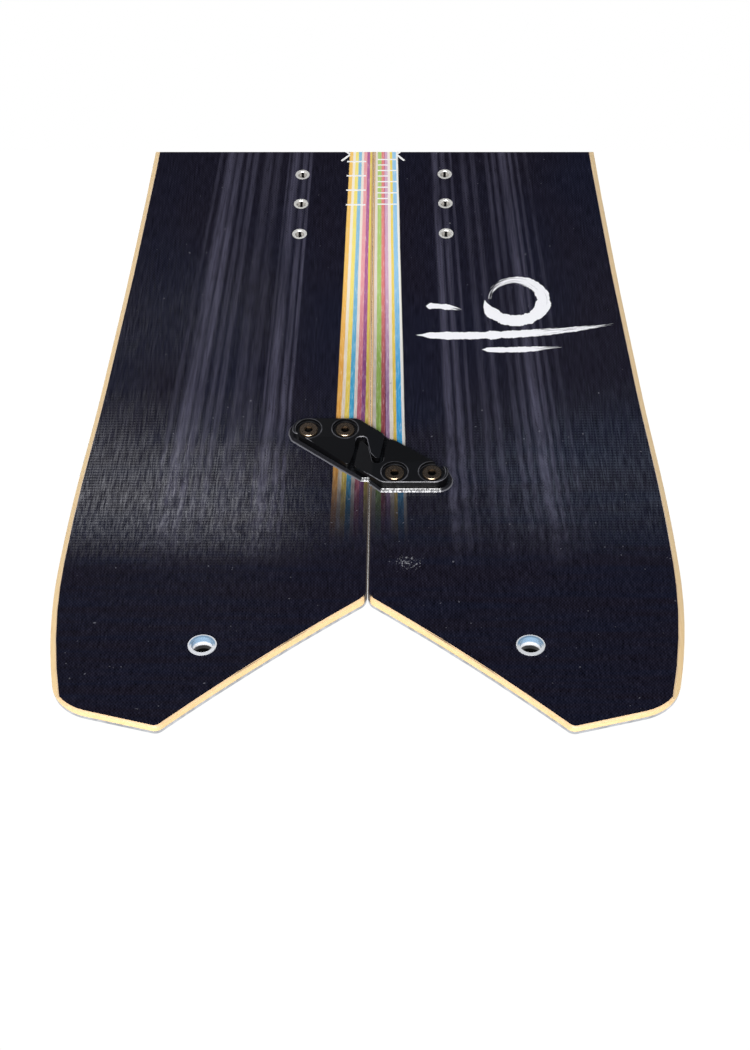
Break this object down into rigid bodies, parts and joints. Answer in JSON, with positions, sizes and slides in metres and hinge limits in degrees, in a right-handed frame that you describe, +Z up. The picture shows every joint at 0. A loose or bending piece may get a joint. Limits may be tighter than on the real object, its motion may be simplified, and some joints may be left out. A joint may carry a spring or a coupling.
{
  "type": "splitboard",
  "caption": "Swallow-tail splitboard: a snowboard split lengthwise into two skis, held together by interlocking hooks, with threaded binding inserts and eyelets.",
  "frame": {"origin": "on the seam at mid-length, on the plane of the running base", "axes": "+Z up from the base to the topsheet, +Y lengthwise towards the nose, +X across to the right half"},
  "size_m": [0.3148, 1.5887, 0.0663],
  "materials": {
    "topsheet": "satin printed polyamide with fine linen grain",
    "laminate": "glass fibre in epoxy",
    "core_wood": "vertical wood strips",
    "base": "ground polyethylene",
    "sidewall": "milled ABS-like plastic",
    "edge_steel": "ground steel",
    "eyelet_metal": "bright",
    "insert_steel": "bright stainless",
    "screw_nickel": "dark bronze nickel",
    "hook_black": "black anodised aluminium"
  },
  "bodies": {
    "left_half": {"left_base": "base", "left_front_binding_inserts": "insert_steel", "left_heel_riser_inserts": "insert_steel", "left_inner_sidewall": "sidewall", "left_inner_steel_edge": "edge_steel", "left_lower_laminate": "laminate", "left_nose_base": "base", "left_nose_eyelet": "eyelet_metal", "left_nose_hook": "hook_black", "left_nose_hook_inserts": "insert_steel", "left_nose_hook_pad": "topsheet", "left_nose_hook_screws": "screw_nickel", "left_nose_spacer": "sidewall", "left_outer_sidewall": "sidewall", "left_outer_steel_edge": "edge_steel", "left_rear_binding_inserts": "insert_steel", "left_tail_base": "base", "left_tail_eyelet": "eyelet_metal", "left_tail_hook": "hook_black", "left_tail_hook_inserts": "insert_steel", "left_tail_hook_pad": "topsheet", "left_tail_hook_screws": "screw_nickel", "left_tail_spacer": "sidewall", "left_topsheet": "topsheet", "left_touring_bracket_inserts": "insert_steel", "left_upper_laminate": "laminate", "left_wood_core": "core_wood"},
    "right_half": {"right_base": "base", "right_front_binding_inserts": "insert_steel", "right_heel_riser_inserts": "insert_steel", "right_inner_sidewall": "sidewall", "right_inner_steel_edge": "edge_steel", "right_lower_laminate": "laminate", "right_nose_base": "base", "right_nose_eyelet": "eyelet_metal", "right_nose_hook": "hook_black", "right_nose_hook_inserts": "insert_steel", "right_nose_hook_pad": "topsheet", "right_nose_hook_screws": "screw_nickel", "right_nose_spacer": "sidewall", "right_outer_sidewall": "sidewall", "right_outer_steel_edge": "edge_steel", "right_rear_binding_inserts": "insert_steel", "right_tail_base": "base", "right_tail_eyelet": "eyelet_metal", "right_tail_hook": "hook_black", "right_tail_hook_inserts": "insert_steel", "right_tail_hook_pad": "topsheet", "right_tail_hook_screws": "screw_nickel", "right_tail_spacer": "sidewall", "right_topsheet": "topsheet", "right_touring_bracket_inserts": "insert_steel", "right_upper_laminate": "laminate", "right_wood_core": "core_wood"}
  },
  "joints": [
    {"name": "halves_slide", "type": "slide", "parent": "left_half", "child": "right_half", "axis": [0.165, -0.9859, 0.0297], "range_m": [0, 0.2]}
  ]
}
